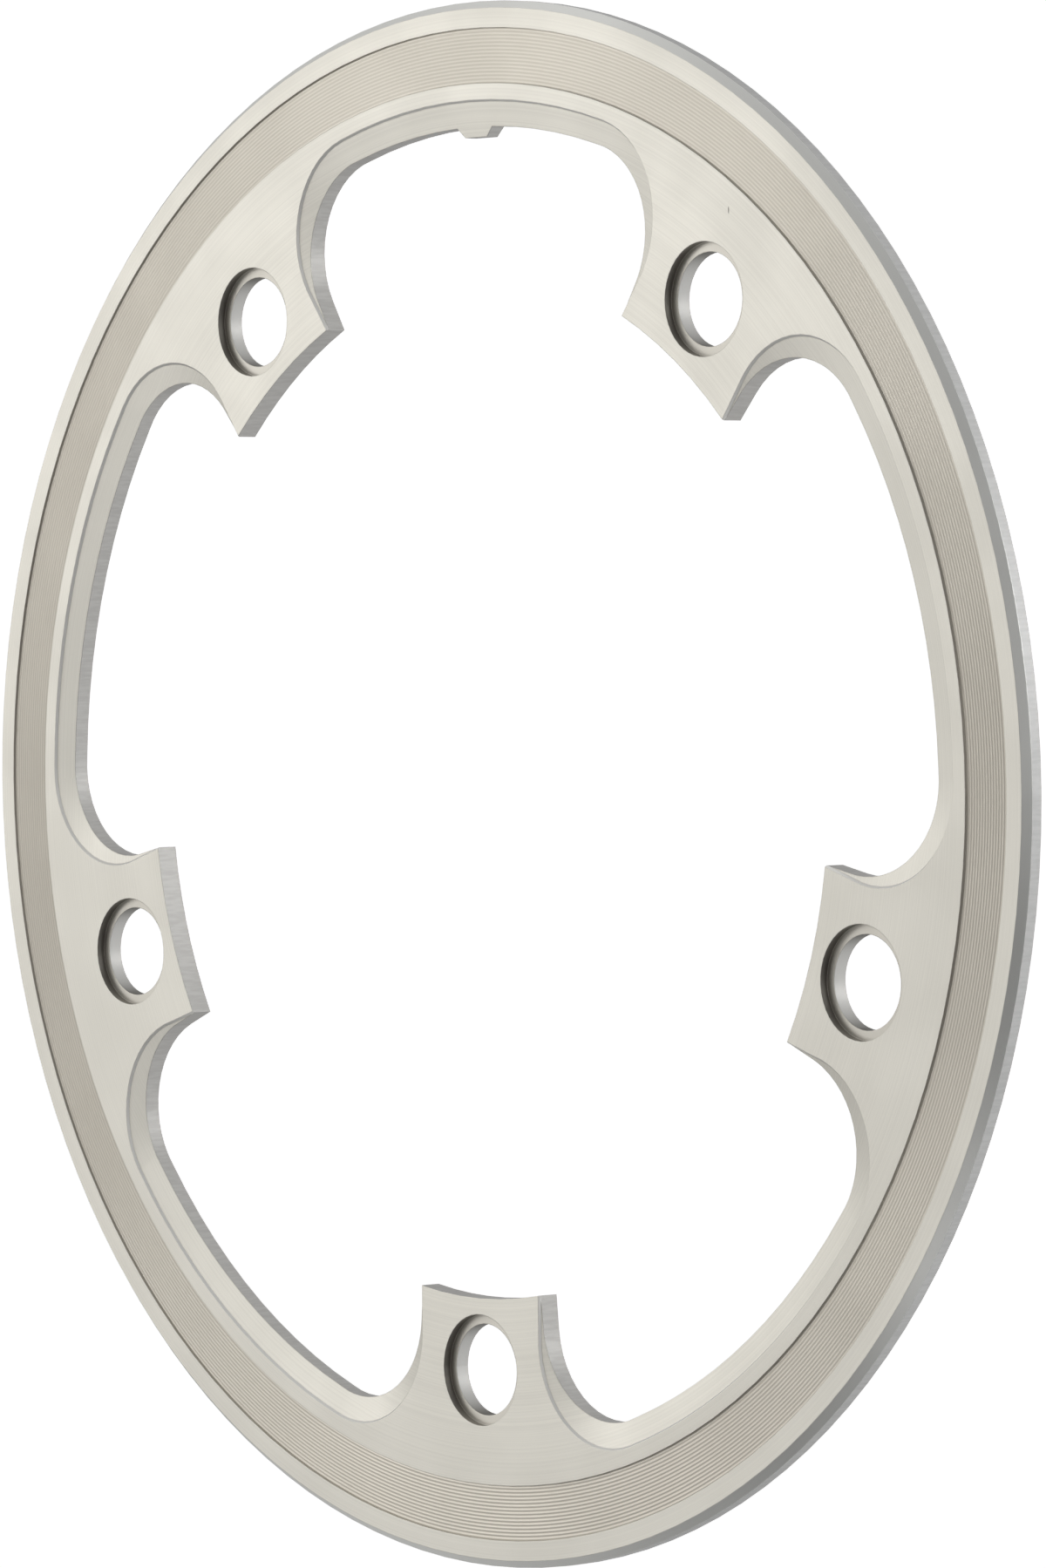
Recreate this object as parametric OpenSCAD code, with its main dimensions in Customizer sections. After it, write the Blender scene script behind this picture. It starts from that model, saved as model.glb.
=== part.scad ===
// Bash guard ring for a five-arm bicycle crank: a flat turned aluminium ring
// with a scooped window between each pair of bolt tabs.
// The ring lies on its back face. Z is the ring's axis, the origin is its
// centre on the back face, and +Y points at the window with the locating nub.

/* [Bolt holes] */
// Number of crank arms, bolt tabs and windows
arm_count = 5; // [4:1:6]
// Diameter of the circle through the bolt holes
bolt_circle_d = 130; // [126:0.5:134]
// Diameter of the clearance bore for a bolt sleeve
bolt_bore_d = 10.2; // [8:0.1:11]
// Diameter of the recess that seats the bolt head
head_recess_d = 12.4; // [11.4:0.1:14]
// Depth of the recess that seats the bolt head
head_recess_depth = 0.95; // [0.5:0.05:1.5]

/* [Ring] */
// Outside diameter of the ring
outer_d = 173.6; // [170:0.2:190]
// Thickness of the plate
thickness = 2.6; // [2.4:0.1:4]
// Size of the chamfer on the front edge of the rim
rim_chamfer = 0.8; // [0.3:0.1:1]
// Size of the chamfer on the back edge of the rim
back_chamfer = 0.5; // [0.2:0.1:0.8]

/* [Turned band] */
// Width of the plain land between the rim's chamfer and the band
rim_land_w = 2.2; // [1:0.1:4]
// Width of the sunken band
band_w = 6.1; // [4:0.1:8]
// Depth of the sunken band
band_depth = 0.25; // [0.1:0.05:0.4]
// Width of the plain land between the band and the windows
inner_land_w = 1.8; // [1:0.1:4]

/* [Windows] */
// Width of the sloped scoop round each window, seen from the front
scoop_w = 2.95; // [1.5:0.05:4]
// Height of the small step where the scoop begins
scoop_step = 0.28; // [0.1:0.02:0.5]
// Width over which that step leans in, seen from the front
scoop_step_run = 0.2; // [0.1:0.02:0.3]
// Depth of the scoop at its inner edge, below the front face
scoop_depth = 0.82; // [0.6:0.02:1.2]
// Radius of the scoop's corners at the front face
scoop_corner_r = 11.2; // [9:0.1:13]
// Radius of the corners of the opening below the scoop
opening_corner_r = 10.45; // [8:0.05:12]

/* [Tabs] */
// Width of each bolt tab at its free end
tab_tip_w = 19.7; // [18:0.1:21]
// Width of each bolt tab at its root, below the scoop
tab_root_w = 20.7; // [20:0.1:23]
// Width of the scoop that is left beside a tab's free end
tab_lip_w = 0.15; // [0.1:0.05:0.4]
// Distance from the bolt circle in to the free end of a tab
tab_reach = 8; // [7.5:0.1:10]

/* [Locating nub] */
// Width of the nub at its tip
nub_tip_w = 3.6; // [2:0.1:5]
// Width of the nub where it meets the ring
nub_base_w = 6; // [5:0.1:9]
// Distance that the nub stands in from the ring
nub_height = 1.15; // [0.5:0.05:2]

/* [Hidden] */
$fn = 180;
metal = [0.79, 0.78, 0.75];
arm_angle = 360 / arm_count;
outer_r = outer_d / 2;
land_r = outer_r - rim_chamfer;
band_outer_r = land_r - rim_land_w;
band_inner_r = band_outer_r - band_w;
// The scoop's radii keep to the micrometre, so that its pieces meet exactly
scoop_r = round(1000 * (band_inner_r - inner_land_w)) / 1000;
corner_r = round(1000 * scoop_corner_r) / 1000;
opening_r = scoop_r - scoop_w;
bolt_r = bolt_circle_d / 2;
tab_end_r = bolt_r - tab_reach;
band_floor_z = thickness - band_depth;
// Run past a face, so that a cut opens it cleanly
over = 0.5;
// Bite of a corner arc past the flank or arc that it crosses
bite = 0.03;
// Steepness of the scoop below its step
scoop_slope = (scoop_depth - scoop_step) / (scoop_w - scoop_step_run);
// Width over which the scoop's cutters run on, past the nub's tip
scoop_reach = scoop_w + nub_height + 1;
// Free corner of a tab below the scoop, in the frame with that tab along +Y
tab_corner_x = tab_tip_w / 2 + tab_lip_w;
tab_corner = [tab_corner_x, sqrt(pow(tab_end_r, 2) - pow(tab_corner_x, 2))];
opening_centre = corner_centre(tab_root_w / 2, opening_corner_r, opening_r);
// Centre of a scoop's corner: its distance from the axis, and its angle from the tab
corner_d = scoop_r - corner_r;
corner_angle = asin((tab_tip_w / 2 + corner_r - bite) / corner_d);
// Angle of the scoop from there to 5 degrees past the middle of the window
arc_angle = arm_angle / 2 - corner_angle + 5;

// Centre of the arc of radius a that joins a tab's flank to the arc of radius r
function corner_centre(flank_x, a, r) =
    let (x = flank_x + a - bite) [x, sqrt(pow(r - a + bite, 2) - pow(x, 2))];
// Point p turned by an angle about the origin
function turned(p, angle) =
    [p.x * cos(angle) - p.y * sin(angle), p.x * sin(angle) + p.y * cos(angle)];
// Point where the line from p touches the circle on its left side
function touch_point(p, centre, r) =
    let (to_centre = centre - p)
    let (span = norm(to_centre))
    p + turned(to_centre, asin(r / span)) * (sqrt(span * span - r * r) / span);

// Children copied onto every tab, each with its tab along +Y
module each_tab() {
    for (arm = [0 : arm_count - 1])
        rotate((arm + 0.5) * arm_angle) children();
}

// Children copied onto every window, each with its window along +Y
module each_window() {
    for (arm = [0 : arm_count - 1])
        rotate(arm * arm_angle) children();
}

// Children on the right of the axis and mirrored onto its left
module both_sides() {
    children();
    mirror([1, 0, 0]) children();
}

// Turned blank: lands, sunken band and chamfered rim
module turned_blank() {
    rotate_extrude()
        polygon([
            [tab_end_r, 0],
            [outer_r - back_chamfer, 0],
            [outer_r, back_chamfer],
            [outer_r, thickness - rim_chamfer],
            [land_r, thickness],
            [band_outer_r, thickness],
            [band_outer_r, band_floor_z],
            [band_inner_r, band_floor_z],
            [band_inner_r, thickness],
            [tab_end_r, thickness]
        ]);
}

// Half of a window's opening beside one tab, with the tab along +Y
module opening_side() {
    touch = touch_point(tab_corner, opening_centre, opening_corner_r);
    run_on = tab_corner + (tab_corner - touch);
    translate(opening_centre) circle(r = opening_corner_r);
    polygon([[0, 0], run_on, touch, opening_centre]);
}

// Outline of a window's opening, with the window along +Y
module opening_outline() {
    side = turned(opening_centre, arm_angle / 2) * (outer_d / norm(opening_centre));
    intersection() {
        circle(r = opening_r);
        polygon([[0, 0], [-side.x, side.y], side]);
    }
    rotate(arm_angle / 2) opening_side();
    rotate(-arm_angle / 2) mirror([1, 0, 0]) opening_side();
}

// Outline of the locating nub, which stays when its window is cut
module nub_outline() {
    tip_y = opening_r - nub_height;
    polygon([
        [-nub_tip_w / 2, tip_y],
        [nub_tip_w / 2, tip_y],
        [nub_base_w / 2, opening_r],
        [nub_base_w / 2, scoop_r],
        [-nub_base_w / 2, scoop_r],
        [-nub_base_w / 2, opening_r]
    ]);
}

// Openings between the tabs, with the nub left standing in the one at +Y
module window_openings() {
    translate([0, 0, -over]) linear_extrude(thickness + 2 * over)
        difference() {
            each_window() opening_outline();
            nub_outline();
        }
}

// Section of the scoop's cutters: a slope up to a small leaning step at radius r
module scoop_section(r) {
    floor_z = thickness - scoop_step - (scoop_reach - scoop_step_run) * scoop_slope;
    inner_r = r - scoop_reach - over;
    polygon([
        [inner_r, floor_z],
        [r - scoop_reach, floor_z],
        [r - scoop_step_run, thickness - scoop_step],
        [r, thickness],
        [r, thickness + over],
        [inner_r, thickness + over]
    ]);
}

// Scoop round one corner, whose centre is along +Y, and on the right of it
// along the ring to just past the middle of the window
module scoop_corner() {
    translate([0, corner_d, 0])
        rotate(90) rotate_extrude(angle = 180) scoop_section(corner_r);
    mirror([1, 0, 0])
        rotate(90) rotate_extrude(angle = arc_angle) scoop_section(scoop_r);
}

// Scoop on the right of the tab along +Y: its corner and the tab's flank
module scoop_side() {
    rotate(-corner_angle) scoop_corner();
    translate([tab_tip_w / 2 + corner_r, corner_d * cos(corner_angle), 0])
        rotate([90, 0, 0]) linear_extrude(corner_d - tab_corner.y + scoop_w)
            mirror([1, 0, 0]) scoop_section(corner_r);
}

// Counterbored hole for one chainring bolt, on the tab along +Y
module bolt_hole() {
    translate([0, bolt_r, -over]) cylinder(h = thickness + 2 * over, d = bolt_bore_d);
    translate([0, bolt_r, thickness - head_recess_depth])
        cylinder(h = head_recess_depth + over, d = head_recess_d);
}

module guard_ring() {
    color(metal) difference() {
        turned_blank();
        window_openings();
        each_tab() both_sides() scoop_side();
        each_tab() bolt_hole();
    }
}

guard_ring();
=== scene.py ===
import math

import bpy
import numpy as np
from mathutils import Matrix, Vector


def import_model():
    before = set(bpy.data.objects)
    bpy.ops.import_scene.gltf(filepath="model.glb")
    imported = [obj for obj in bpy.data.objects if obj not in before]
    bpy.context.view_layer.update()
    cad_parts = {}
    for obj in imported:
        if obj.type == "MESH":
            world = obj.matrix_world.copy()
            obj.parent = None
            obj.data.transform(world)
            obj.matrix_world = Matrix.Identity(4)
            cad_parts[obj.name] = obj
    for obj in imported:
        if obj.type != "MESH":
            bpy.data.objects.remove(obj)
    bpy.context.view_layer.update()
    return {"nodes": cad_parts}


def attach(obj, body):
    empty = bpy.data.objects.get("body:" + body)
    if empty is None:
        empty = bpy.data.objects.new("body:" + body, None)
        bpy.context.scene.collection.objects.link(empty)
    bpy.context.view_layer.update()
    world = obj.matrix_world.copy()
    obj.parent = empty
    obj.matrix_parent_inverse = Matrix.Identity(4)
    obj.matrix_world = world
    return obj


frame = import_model()

# The ring's sizes, in metres, as the source of the solid has them.
THICKNESS = 0.0026
OUTER_RADIUS = 0.0868
BAND_OUTER = 0.0838
BAND_INNER = 0.0777
BAND_DEPTH = 0.00025
BOLT_CIRCLE_RADIUS = 0.065
BOLT_BORE_RADIUS = 0.0051
HEAD_RECESS_RADIUS = 0.0062
BOLT_HOLES = 5
FIRST_HOLE_ANGLE = math.radians(54)

# The turned grooves in the sunken band. They clear its floor and its sides by a hair.
GROOVES = 15
GROOVE_HEIGHT = 0.000035
GROOVE_LIFT = 0.000004
BAND_SIDE_GAP = 0.00002
STEPS_PER_GROOVE = 6
STEPS_AROUND = 900

# The camera: where it stands, what it looks at, its roll and its lens.
CAMERA_AT = Vector((0.67452, 0.02016, 0.58522))
LOOKS_AT = Vector((0.006617, 0.0002, 0.0013))
ROLL_DEG = -0.51
PHOTO_LONG_SIDE_PX = 1799
FOCAL_PX = 9220.4
SENSOR_MM = 36.0
NEAREST_SEEN = 0.05
FURTHEST_SEEN = 50

# Base colours of the turned faces, the cut walls and the rim, which vary between two tones.
FACE_DARK = (0.76, 0.735, 0.665)
FACE_LIGHT = (0.81, 0.785, 0.71)
WALL_DARK = (0.39, 0.383, 0.37)
WALL_LIGHT = (0.43, 0.424, 0.41)
RIM_DARK = (0.445, 0.445, 0.44)
RIM_LIGHT = (0.485, 0.485, 0.48)
# The band's two tones paint shade into the grooves' valleys and leave their crests lighter.
BAND_VALLEY_SHADE = (0.60, 0.56, 0.485)
BAND_CREST_TONE = (0.72, 0.68, 0.60)

# Base colours of the smaller surfaces. The walls of a bolt hole carry painted light and shade
# by which way they face: the recess wall has painted shade where it faces +X and is lighter at
# its ends, and the bore wall is painted lighter where it faces +X, with painted shade at its
# ends.
CHAMFER = (0.84, 0.84, 0.81)
BAND_STEP = (0.76, 0.735, 0.68)
# The scoops' steps are painted near white: a painted highlight, brighter than the metal itself.
SCOOP_STEP_PAINTED_LIGHT = (0.97, 0.96, 0.93)
RECESS_FLOOR = (0.72, 0.69, 0.62)
RECESS_SHADE_FACING_X = (0.18, 0.17, 0.155)
RECESS_LIGHT_AT_ENDS = (0.50, 0.48, 0.44)
BORE_LIGHT_FACING_X = (0.48, 0.475, 0.46)
BORE_SHADE_AT_ENDS = (0.16, 0.155, 0.14)

# The tint of all the metal where it is seen at a grazing angle.
GRAZING_TINT = (0.55, 0.55, 0.55)

# Roughness from the smoothest to the roughest patch, and how much rougher some surfaces are.
FACE_ROUGH = (0.40, 0.44)
BAND_ROUGH = (0.38, 0.42)
WALL_EXTRA_ROUGH = 0.03
SCOOP_STEP_EXTRA_ROUGH = 0.2

# How strongly the turning draws out the highlights, and a quarter turn of their direction.
FACE_ANISOTROPY = 0.3
BAND_ANISOTROPY = 0.7
QUARTER_TURN = 0.25

# The marks of the tool: the pitch and depth of the streaks, how often they change along the
# cut, per radian, and how fine their noise is.
FACE_MARK_PITCH = 0.00018
FACE_MARK_DEPTH = 0.000004
BAND_MARK_PITCH = 0.00009
BAND_MARK_DEPTH = 0.000003
MARK_CHANGES = 0.35
MARK_DETAIL = 3.0

# Noise scales: cloudy patches of roughness, and a grain on the walls, drawn out along Z.
FACE_CLOUDS = 90.0
BAND_CLOUDS = 60.0
WALL_GRAIN = 3000.0
WALL_GRAIN_STRETCH = (1, 1, 0.12)
NOISE_DETAIL = 2.0

# The part of a noise's range that is spread over the whole range of a colour.
NOISE_RANGE = (0.3, 0.7)
GRAIN_RANGE = (0.35, 0.65)

# The sharp edges look rounded by this radius.
EDGE_ROUNDING = 0.00012
EDGE_SAMPLES = 6

# Limits of the masks on how far a surface looks up or down: 0 is a wall, 1 lies flat.
WALL_TO_FACE = (0.35, 0.6)
SLOPE_TO_FLAT = (0.75, 0.85)
SCOOP_STEP_FROM = (0.48, 0.54)
SCOOP_STEP_TO = (0.62, 0.66)
# And on how far a bolt hole's wall looks towards +X, which sets its painted light and shade.
END_TO_MIDDLE = (0.1, 0.95)

# Limits of the masks on the radius.
TO_RIM = (OUTER_RADIUS - 0.001, OUTER_RADIUS - 0.0005)
TO_OUTER_LAND = (BAND_OUTER, BAND_OUTER + 0.001)
TO_BAND = (BAND_INNER - 0.0006, BAND_INNER - 0.0002)
PAST_BAND = (BAND_OUTER + 0.0002, BAND_OUTER + 0.0006)
PAST_SCOOPS = (BAND_INNER - 0.001, BAND_INNER)

# Limits of the masks on the distance from the middle of a bolt hole.
PAST_BORE_WALL = (BOLT_BORE_RADIUS + 0.0003, BOLT_BORE_RADIUS + 0.0006)
TO_RECESS_WALL = (BOLT_BORE_RADIUS + 0.0004, BOLT_BORE_RADIUS + 0.0007)
PAST_RECESS_WALL = (HEAD_RECESS_RADIUS + 0.0001, HEAD_RECESS_RADIUS + 0.0003)

# Limits of the masks on the height.
OFF_BACK = (0.0004, 0.0008)
TO_FRONT = (THICKNESS - 0.0008, THICKNESS - 0.0002)

# A small scratch on the face: its colour, its place, its half sizes and its soft edge.
SCRATCH = (0.30, 0.28, 0.25)
SCRATCH_AT = (0.04228, 0.06194, THICKNESS)
SCRATCH_HALF_SIZES = (0.00012, 0.00048, 0.0002)
SCRATCH_EDGE = (0.5, 1.0)

# The softboxes: their distance from the ring's centre and the length of a side.
LIGHT_DISTANCE = 0.9
SOFTBOX_SIZE = 0.36

# The sky: its strength straight up, how it tilts over X and Y, and a glow near the horizon.
SKY_LEVEL = 0.274
SKY_TILT = (-0.108, 0.156, 0.0)
SKY_GLOW = 0.115
GLOW_HEIGHTS = (0.1, 0.6)

# The floor lies far enough below the ring to stay free of its shadow, and glows to plain white.
FLOOR_BELOW = 0.3
FLOOR_SIZE = 6.0
FLOOR_PAINT = (0.9, 0.9, 0.9)
FLOOR_EMISSION = 0.64

WHITE = (1, 1, 1)


def look_at(camera, place, target, roll_deg):
    """Points the camera at the target with the frame's Y axis up in the picture."""
    back = (place - target).normalized()
    right = Vector((0, 1, 0)).cross(back).normalized()
    up = back.cross(right).normalized()
    turned = Matrix((right, up, back)).transposed()
    camera.matrix_world = Matrix.Translation(place) @ turned.to_4x4() @ Matrix.Rotation(
        math.radians(roll_deg), 4, "Z")


def make_camera():
    data = bpy.data.cameras.new("camera")
    data.sensor_width = SENSOR_MM
    data.lens = FOCAL_PX * SENSOR_MM / PHOTO_LONG_SIDE_PX
    data.clip_start = NEAREST_SEEN
    data.clip_end = FURTHEST_SEEN
    camera = bpy.data.objects.new("camera", data)
    bpy.context.scene.collection.objects.link(camera)
    look_at(camera, CAMERA_AT, LOOKS_AT, ROLL_DEG)
    bpy.context.scene.camera = camera


def softbox(name, turn, rise, power):
    """A square softbox that faces the ring's centre.

    Turned by 0 degrees it stands on the side of -X, away from the camera, and by 90 on the
    side of +Y. The rise is its angle above the ring, or below it where it is negative.
    """
    turn, rise = math.radians(turn), math.radians(rise)
    level = LIGHT_DISTANCE * math.cos(rise)
    place = Vector((-level * math.cos(turn), level * math.sin(turn),
                    LIGHT_DISTANCE * math.sin(rise)))
    data = bpy.data.lights.new(name, "AREA")
    data.shape = "SQUARE"
    data.size = SOFTBOX_SIZE
    data.energy = power
    light = bpy.data.objects.new(name, data)
    light.location = place
    light.visible_camera = False
    light.rotation_mode = "QUATERNION"
    light.rotation_quaternion = place.to_track_quat("Z", "Y")
    bpy.context.scene.collection.objects.link(light)


def new_material(name):
    """A material with its node tree and its shader."""
    material = bpy.data.materials.new(name)
    material.use_nodes = True
    return material, material.node_tree, material.node_tree.nodes["Principled BSDF"]


def link(tree, source, target):
    tree.links.new(source, target)


def feed(tree, socket, value):
    """Gives an input socket a number or the output of another node."""
    if isinstance(value, (int, float)):
        socket.default_value = value
    else:
        link(tree, value, socket)


def math_node(tree, operation, *values):
    """The result of a sum on sockets or numbers."""
    node = tree.nodes.new("ShaderNodeMath")
    node.operation = operation
    for socket, value in zip(node.inputs, values):
        feed(tree, socket, value)
    return node.outputs["Value"]


def plus(tree, first, second):
    return math_node(tree, "ADD", first, second)


def times(tree, first, second):
    return math_node(tree, "MULTIPLY", first, second)


def squares(tree, first, second):
    """The sum of two squares."""
    return plus(tree, times(tree, first, first), times(tree, second, second))


def vector_node(tree, operation, vector, other=None):
    """A Vector Math node on a socket and, where it takes one, a second vector of numbers."""
    node = tree.nodes.new("ShaderNodeVectorMath")
    node.operation = operation
    link(tree, vector, node.inputs[0])
    if other is not None:
        node.inputs[1].default_value = other
    return node


def parted(tree, vector):
    """The X, Y and Z outputs of a vector."""
    node = tree.nodes.new("ShaderNodeSeparateXYZ")
    link(tree, vector, node.inputs["Vector"])
    return node.outputs["X"], node.outputs["Y"], node.outputs["Z"]


def joined(tree, *parts):
    """A vector of three sockets or numbers."""
    node = tree.nodes.new("ShaderNodeCombineXYZ")
    for socket, part in zip(node.inputs, parts):
        feed(tree, socket, part)
    return node.outputs["Vector"]


def spread(tree, value, limits, results=(0.0, 1.0)):
    """A smooth step of a value: its limits become the results."""
    node = tree.nodes.new("ShaderNodeMapRange")
    node.interpolation_type = "SMOOTHSTEP"
    link(tree, value, node.inputs["Value"])
    for name, number in zip(("From Min", "From Max", "To Min", "To Max"), (*limits, *results)):
        node.inputs[name].default_value = number
    return node.outputs["Result"]


def before(tree, value, limits):
    """A mask that falls from 1 to 0 between the limits."""
    return spread(tree, value, limits, (1.0, 0.0))


def noise(tree, vector, scale, detail=NOISE_DETAIL):
    node = tree.nodes.new("ShaderNodeTexNoise")
    link(tree, vector, node.inputs["Vector"])
    node.inputs["Scale"].default_value = scale
    node.inputs["Detail"].default_value = detail
    return node.outputs["Fac"]


def mixed(tree, share, first, second):
    """The colour between two colours; each is a socket or a tuple."""
    node = tree.nodes.new("ShaderNodeMix")
    node.data_type = "RGBA"
    link(tree, share, node.inputs["Factor"])
    for socket, colour in ((node.inputs[6], first), (node.inputs[7], second)):
        if isinstance(colour, tuple):
            socket.default_value = (*colour, 1)
        else:
            link(tree, colour, socket)
    return node.outputs[2]


def position(tree):
    """Where a point of the ring is: its place, radius, angle and height."""
    place = tree.nodes.new("ShaderNodeTexCoord").outputs["Object"]
    x, y, height = parted(tree, place)
    radius = math_node(tree, "SQRT", squares(tree, x, y))
    return place, radius, math_node(tree, "ARCTAN2", y, x), height


def facing(tree):
    """How far a surface looks up or down, and how far towards +X."""
    x, _, z = parted(tree, tree.nodes.new("ShaderNodeTexCoord").outputs["Normal"])
    return math_node(tree, "ABSOLUTE", z), x


def from_bolt_hole(tree, radius, angle):
    """How far a point is from the middle of the nearest bolt hole."""
    fifth = 2 * math.pi / BOLT_HOLES
    # two whole turns keep the angle positive for the modulo
    turned = plus(tree, angle, 4 * math.pi + fifth / 2 - FIRST_HOLE_ANGLE)
    off = math_node(tree, "SUBTRACT", math_node(tree, "MODULO", turned, fifth), fifth / 2)
    across = times(tree, radius, math_node(tree, "SINE", off))
    outward = times(tree, radius, math_node(tree, "COSINE", off))
    outward = math_node(tree, "SUBTRACT", outward, BOLT_CIRCLE_RADIUS)
    return math_node(tree, "SQRT", squares(tree, across, outward))


def scratch(tree, place):
    """The short dark scratch beside one bolt hole, as a share from 0 to 1."""
    offset = vector_node(tree, "SUBTRACT", place, SCRATCH_AT).outputs["Vector"]
    scale = tuple(1 / size for size in SCRATCH_HALF_SIZES)
    offset = vector_node(tree, "MULTIPLY", offset, scale).outputs["Vector"]
    return before(tree, vector_node(tree, "LENGTH", offset).outputs["Value"], SCRATCH_EDGE)


def turned_marks(tree, radius, angle, pitch):
    """Streaks left by turning: they change quickly outwards and slowly round the ring."""
    across = times(tree, radius, 1 / pitch)
    along = times(tree, angle, MARK_CHANGES)
    return noise(tree, joined(tree, across, along, 0.0), 1.0, MARK_DETAIL)


def bumped(tree, height, distance):
    node = tree.nodes.new("ShaderNodeBump")
    node.inputs["Distance"].default_value = distance
    link(tree, height, node.inputs["Height"])
    return node


def rounded(tree):
    """The surface's normal, turned gently round its sharp edges."""
    node = tree.nodes.new("ShaderNodeBevel")
    node.samples = EDGE_SAMPLES
    node.inputs["Radius"].default_value = EDGE_ROUNDING
    return node.outputs["Normal"]


def make_metal(tree, shader, anisotropy):
    """Metal whose highlights are drawn out across the marks of turning."""
    shader.inputs["Metallic"].default_value = 1
    shader.inputs["Specular Tint"].default_value = (*GRAZING_TINT, 1)
    shader.inputs["Anisotropic"].default_value = anisotropy
    shader.inputs["Anisotropic Rotation"].default_value = QUARTER_TURN
    tangent = tree.nodes.new("ShaderNodeTangent")
    tangent.direction_type = "RADIAL"
    tangent.axis = "Z"
    link(tree, tangent.outputs["Tangent"], shader.inputs["Tangent"])


def wall_colour(tree, radius, from_hole, towards_x, grain):
    """Dull cut walls: windows, rim, bolt holes and the sides of the sunken band.

    The walls of the bolt holes get painted light and shade by which way they face.
    """
    grit = spread(tree, grain, GRAIN_RANGE)
    colour = mixed(tree, spread(tree, radius, TO_RIM), mixed(tree, grit, WALL_DARK, WALL_LIGHT),
                   mixed(tree, grit, RIM_DARK, RIM_LIGHT))
    # painted light and shade on the bolt holes' walls, set by how far they face +X
    middle = spread(tree, towards_x, END_TO_MIDDLE)
    at_recess = times(tree, spread(tree, from_hole, TO_RECESS_WALL),
                      before(tree, from_hole, PAST_RECESS_WALL))
    colour = mixed(tree, at_recess, colour, mixed(tree, middle, RECESS_LIGHT_AT_ENDS, RECESS_SHADE_FACING_X))
    in_bore = before(tree, from_hole, PAST_BORE_WALL)
    colour = mixed(tree, in_bore, colour, mixed(tree, middle, BORE_SHADE_AT_ENDS, BORE_LIGHT_FACING_X))
    at_band = times(tree, spread(tree, radius, TO_BAND), before(tree, radius, PAST_BAND))
    return mixed(tree, at_band, colour, BAND_STEP)


def face_colour(tree, radius, height, from_hole, upward, marks):
    """Turned faces, with the rim's chamfer and the floors of the bolt heads' recesses."""
    colour = mixed(tree, spread(tree, marks, NOISE_RANGE), FACE_DARK, FACE_LIGHT)
    on_chamfer = times(tree, before(tree, upward, SLOPE_TO_FLAT),
                       spread(tree, radius, TO_OUTER_LAND))
    colour = mixed(tree, on_chamfer, colour, CHAMFER)
    inside = times(tree, before(tree, height, TO_FRONT), spread(tree, height, OFF_BACK))
    on_floor = times(tree, inside, before(tree, from_hole, PAST_RECESS_WALL))
    return mixed(tree, on_floor, colour, RECESS_FLOOR)


def ring_metal():
    """Bare aluminium: satin turned faces, and duller walls where the cutter went."""
    material, tree, shader = new_material("satin_aluminium")
    place, radius, angle, height = position(tree)
    upward, towards_x = facing(tree)
    from_hole = from_bolt_hole(tree, radius, angle)
    marks = turned_marks(tree, radius, angle, FACE_MARK_PITCH)
    stretched = vector_node(tree, "MULTIPLY", place, WALL_GRAIN_STRETCH).outputs["Vector"]
    grain = noise(tree, stretched, WALL_GRAIN)
    is_wall = before(tree, upward, WALL_TO_FACE)
    on_step = times(tree, spread(tree, upward, SCOOP_STEP_FROM),
                    before(tree, upward, SCOOP_STEP_TO))
    on_step = times(tree, on_step, before(tree, radius, PAST_SCOOPS))

    face = face_colour(tree, radius, height, from_hole, upward, marks)
    # painted highlight on the scoops' steps
    face = mixed(tree, on_step, face, SCOOP_STEP_PAINTED_LIGHT)
    face = mixed(tree, scratch(tree, place), face, SCRATCH)
    wall = wall_colour(tree, radius, from_hole, towards_x, grain)
    link(tree, mixed(tree, is_wall, face, wall), shader.inputs["Base Color"])

    rough = spread(tree, noise(tree, place, FACE_CLOUDS), NOISE_RANGE, FACE_ROUGH)
    rough = plus(tree, rough, times(tree, is_wall, WALL_EXTRA_ROUGH))
    rough = plus(tree, rough, times(tree, on_step, SCOOP_STEP_EXTRA_ROUGH))
    link(tree, rough, shader.inputs["Roughness"])

    relief = bumped(tree, plus(tree, marks, times(tree, grain, is_wall)), FACE_MARK_DEPTH)
    link(tree, rounded(tree), relief.inputs["Normal"])
    link(tree, relief.outputs["Normal"], shader.inputs["Normal"])
    make_metal(tree, shader, FACE_ANISOTROPY)
    return material


def band_metal():
    """The grooves' aluminium, with painted shade making the valleys a little darker than the
    crests.
    """
    material, tree, shader = new_material("grooved_aluminium")
    place, radius, angle, height = position(tree)
    valley = THICKNESS - BAND_DEPTH + GROOVE_LIFT
    # painted shade in the grooves' valleys, lighter on the crests
    crest = spread(tree, height, (valley, valley + GROOVE_HEIGHT))
    link(tree, mixed(tree, crest, BAND_VALLEY_SHADE, BAND_CREST_TONE), shader.inputs["Base Color"])
    rough = spread(tree, noise(tree, place, BAND_CLOUDS), NOISE_RANGE, BAND_ROUGH)
    link(tree, rough, shader.inputs["Roughness"])
    marks = turned_marks(tree, radius, angle, BAND_MARK_PITCH)
    relief = bumped(tree, marks, BAND_MARK_DEPTH)
    link(tree, relief.outputs["Normal"], shader.inputs["Normal"])
    make_metal(tree, shader, BAND_ANISOTROPY)
    return material


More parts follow.
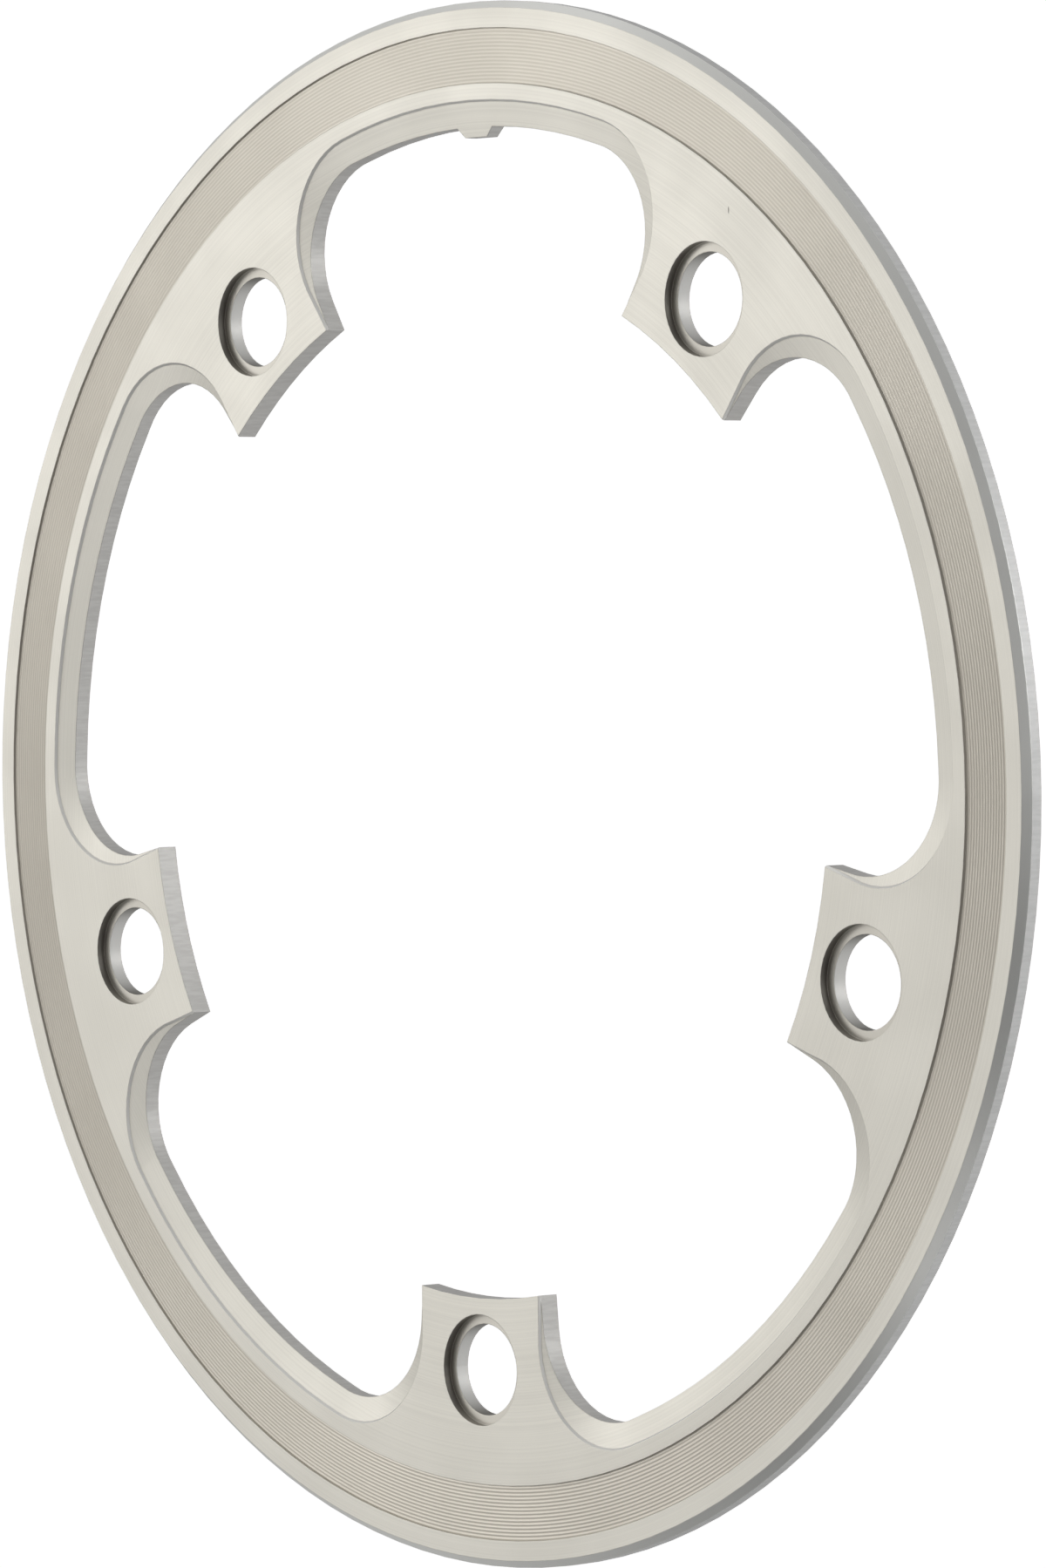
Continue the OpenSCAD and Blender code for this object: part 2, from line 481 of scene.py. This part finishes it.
def grooved_band():
    """A ring of fine turned grooves that lies on the floor of the sunken band."""
    outer = BAND_OUTER - BAND_SIDE_GAP
    inner = BAND_INNER + BAND_SIDE_GAP
    floor = THICKNESS - BAND_DEPTH
    rows = GROOVES * STEPS_PER_GROOVE + 1
    share = np.linspace(0, 1, rows)
    radius = inner + (outer - inner) * share
    wave = 0.5 - 0.5 * np.cos(share * GROOVES * 2 * math.pi)
    height = floor + GROOVE_LIFT + GROOVE_HEIGHT * wave
    angle = np.arange(STEPS_AROUND) * 2 * math.pi / STEPS_AROUND
    points = np.empty((rows, STEPS_AROUND, 3))
    points[:, :, 0] = radius[:, None] * np.cos(angle)
    points[:, :, 1] = radius[:, None] * np.sin(angle)
    points[:, :, 2] = height[:, None]
    row, step = np.meshgrid(np.arange(rows - 1), np.arange(STEPS_AROUND), indexing="ij")
    after = (step + 1) % STEPS_AROUND
    faces = np.stack([row * STEPS_AROUND + step, (row + 1) * STEPS_AROUND + step,
                      (row + 1) * STEPS_AROUND + after, row * STEPS_AROUND + after], -1)
    mesh = bpy.data.meshes.new("turned_band")
    mesh.from_pydata(points.reshape(-1, 3).tolist(), [], faces.reshape(-1, 4).tolist())
    mesh.shade_smooth()
    band = bpy.data.objects.new("turned_band", mesh)
    bpy.context.scene.collection.objects.link(band)
    return band


def make_floor():
    material, _, shader = new_material("floor_paint")
    shader.inputs["Base Color"].default_value = (*FLOOR_PAINT, 1)
    shader.inputs["Roughness"].default_value = 1
    shader.inputs["Emission Color"].default_value = (*WHITE, 1)
    shader.inputs["Emission Strength"].default_value = FLOOR_EMISSION
    half = FLOOR_SIZE / 2
    mesh = bpy.data.meshes.new("floor")
    mesh.from_pydata([(-half, -half, 0), (half, -half, 0), (half, half, 0), (-half, half, 0)],
                     [], [(0, 1, 2, 3)])
    mesh.materials.append(material)
    floor = bpy.data.objects.new("floor", mesh)
    floor.location = (0, 0, -FLOOR_BELOW)
    bpy.context.scene.collection.objects.link(floor)


def make_world():
    """A plain white sky that is a little brighter towards -X, +Y and the horizon."""
    world = bpy.data.worlds.new("studio")
    world.use_nodes = True
    bpy.context.scene.world = world
    tree = world.node_tree
    background = tree.nodes["Background"]
    direction = tree.nodes.new("ShaderNodeTexCoord").outputs["Generated"]
    tilt = vector_node(tree, "DOT_PRODUCT", direction, SKY_TILT).outputs["Value"]
    _, _, height = parted(tree, direction)
    glow = spread(tree, height, GLOW_HEIGHTS, (SKY_GLOW, 0.0))
    link(tree, plus(tree, plus(tree, tilt, SKY_LEVEL), glow), background.inputs["Strength"])
    background.inputs["Color"].default_value = (*WHITE, 1)


bpy.context.scene.view_settings.view_transform = "Standard"
make_camera()
make_world()
make_floor()
softbox("key_low", turn=12, rise=15, power=0.12)
softbox("key_left", turn=-10, rise=38, power=0.27)
softbox("key_middle", turn=13, rise=39, power=0.45)
softbox("key_right", turn=35, rise=37, power=0.155)
softbox("top_left", turn=-35, rise=60, power=0.25)
softbox("top_right", turn=35, rise=60, power=0.215)
softbox("top_low", turn=57, rise=9, power=0.13)
softbox("low_right", turn=160, rise=-17, power=2.8)
softbox("low_left", turn=-155, rise=-16, power=0.22)
softbox("foot", turn=-119, rise=29, power=0.32)
softbox("front_fill", turn=175, rise=18, power=0.35)

ring = frame["nodes"]["guard_ring"]
ring.data.materials.clear()
ring.data.materials.append(ring_metal())

band = grooved_band()
band.data.materials.append(band_metal())
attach(band, "root")
